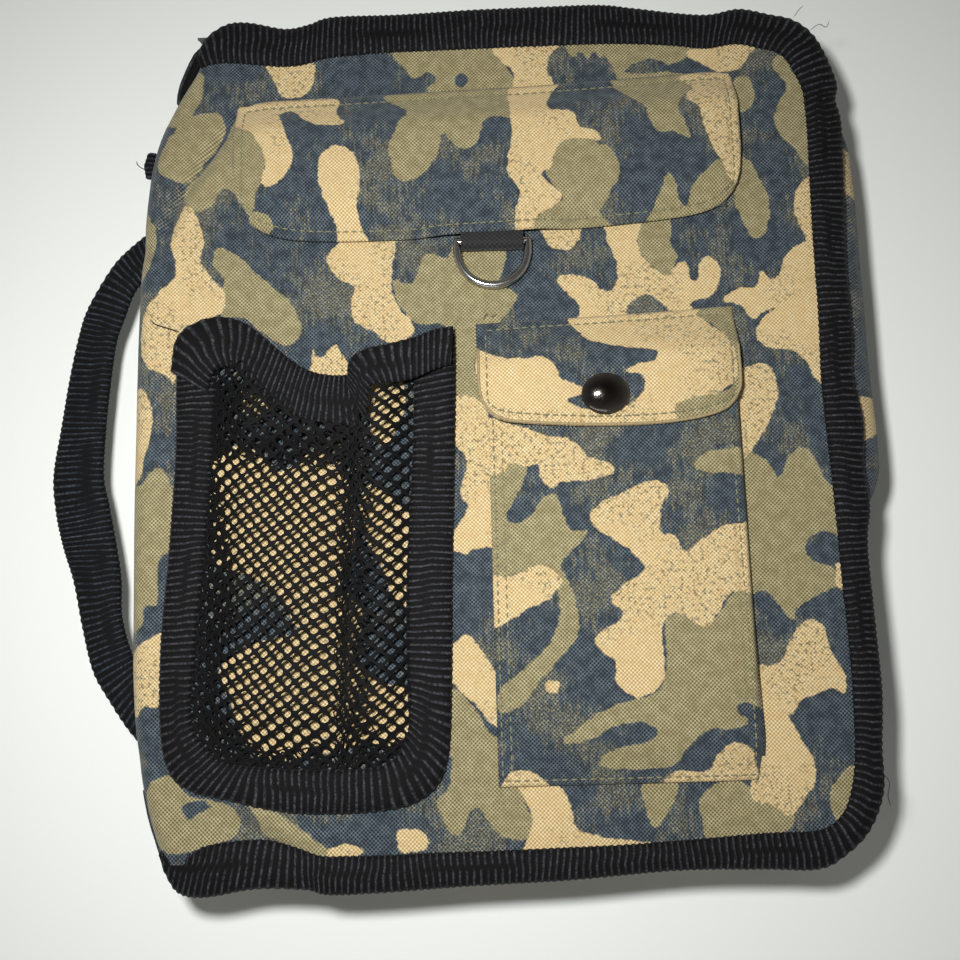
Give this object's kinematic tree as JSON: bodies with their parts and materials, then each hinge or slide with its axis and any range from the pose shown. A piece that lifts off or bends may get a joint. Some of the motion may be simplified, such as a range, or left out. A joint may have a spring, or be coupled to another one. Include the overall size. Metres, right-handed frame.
{
  "type": "drum stick bag",
  "caption": "Zip-round camouflage cloth case with black ribbed binding, a flap pocket with a D-ring, a snap pocket, a mesh pocket and a webbing handle on the spine.",
  "frame": {"origin": "centre of the back panel's outer face", "axes": "+X from the spine to the opening edge, +Y to the top edge, +Z out of the front cover, with the case lying on its back"},
  "size_m": [0.2638, 0.284, 0.0572],
  "materials": {
    "camouflage_cloth": "woven, printed",
    "black_tape": "ribbed",
    "black_lining": "plain weave",
    "foam_board": "soft",
    "black_net": "open net",
    "zip_coil": "satin",
    "black_metal": "satin",
    "gunmetal": "polished dark",
    "nickel": "polished"
  },
  "bodies": {
    "back": {"back_panel": "camouflage_cloth", "back_stiffener": "foam_board", "back_lining": "black_lining", "back_binding": "black_tape", "back_gusset": "camouflage_cloth", "back_zip_tape": "black_tape", "back_zip_coil": "zip_coil", "back_zip_end_tabs": "black_tape", "stick_sleeve": "black_lining", "sleeve_hem": "black_tape"},
    "spine": {"spine_panel": "camouflage_cloth", "spine_stiffener": "foam_board", "spine_lining": "black_lining", "handle_anchors": "black_tape"},
    "cover": {"front_panel": "camouflage_cloth", "front_stiffener": "foam_board", "front_lining": "black_lining", "front_binding": "black_tape", "front_gusset": "camouflage_cloth", "front_zip_tape": "black_tape", "front_zip_coil": "zip_coil", "front_zip_end_tabs": "black_tape", "top_pocket": "camouflage_cloth", "top_pocket_loop_strip": "black_tape", "top_flap_seam": "camouflage_cloth", "d_ring_tab": "black_tape", "snap_pocket_front": "camouflage_cloth", "snap_pocket_gusset": "camouflage_cloth", "snap_flap_seam": "camouflage_cloth", "snap_stud": "nickel", "mesh_net": "black_net", "mesh_pocket_binding": "black_tape", "mesh_mouth_binding": "black_tape"},
    "wide_flap": {"top_flap": "camouflage_cloth", "top_flap_hook_strip": "black_tape"},
    "pocket_flap": {"snap_flap": "camouflage_cloth", "snap_cap": "gunmetal", "snap_socket": "nickel"},
    "ring": {"d_ring": "nickel"},
    "upper_slider": {"slider_upper": "black_metal"},
    "upper_pull": {"slider_upper_pull": "black_metal"},
    "lower_slider": {"slider_lower": "black_metal"},
    "lower_pull": {"slider_lower_pull": "black_metal"},
    "handle": {"handle_strap": "black_tape"}
  },
  "joints": [
    {"name": "spine_fold", "type": "hinge", "parent": "back", "child": "spine", "pos_m": [-0.114, 0, 0.002], "axis": [0, -1, 0], "range_deg": [0, 80]},
    {"name": "cover_fold", "type": "hinge", "parent": "spine", "child": "cover", "pos_m": [-0.114, 0, 0.043], "axis": [0, -1, 0], "range_deg": [0, 80]},
    {"name": "wide_flap_lift", "type": "hinge", "parent": "cover", "child": "wide_flap", "pos_m": [0, 0.1078, 0.0529], "axis": [-1, 0, 0], "range_deg": [0, 150]},
    {"name": "pocket_flap_lift", "type": "hinge", "parent": "cover", "child": "pocket_flap", "pos_m": [0.0355, 0.0318, 0.054], "axis": [-1, 0, 0], "range_deg": [0, 150]},
    {"name": "ring_swing", "type": "hinge", "parent": "cover", "child": "ring", "pos_m": [0, 0.0562, 0.04785], "axis": [-1, 0, 0], "range_deg": [0, 100]},
    {"name": "upper_slider_travel", "type": "slide", "parent": "back", "child": "upper_slider", "axis": [0, 1, 0], "range_m": [0, 0.102]},
    {"name": "lower_slider_travel", "type": "slide", "parent": "back", "child": "lower_slider", "axis": [0, -1, 0], "range_m": [0, 0.086]},
    {"name": "upper_pull_swing", "type": "hinge", "parent": "upper_slider", "child": "upper_pull", "pos_m": [0.1142, -0.002, 0.0225], "axis": [0, 0, -1], "range_deg": [0, 100]},
    {"name": "lower_pull_swing", "type": "hinge", "parent": "lower_slider", "child": "lower_pull", "pos_m": [0.1142, -0.014, 0.0225], "axis": [0, 0, 1], "range_deg": [0, 100]},
    {"name": "handle_swing", "type": "hinge", "parent": "spine", "child": "handle", "pos_m": [-0.1174, -0.0175, 0.0223], "axis": [0, 1, 0], "range_deg": [0, 60]}
  ],
  "couplings": [
    {"joint": "cover_fold", "follows": "spine_fold", "ratio": 1}
  ]
}
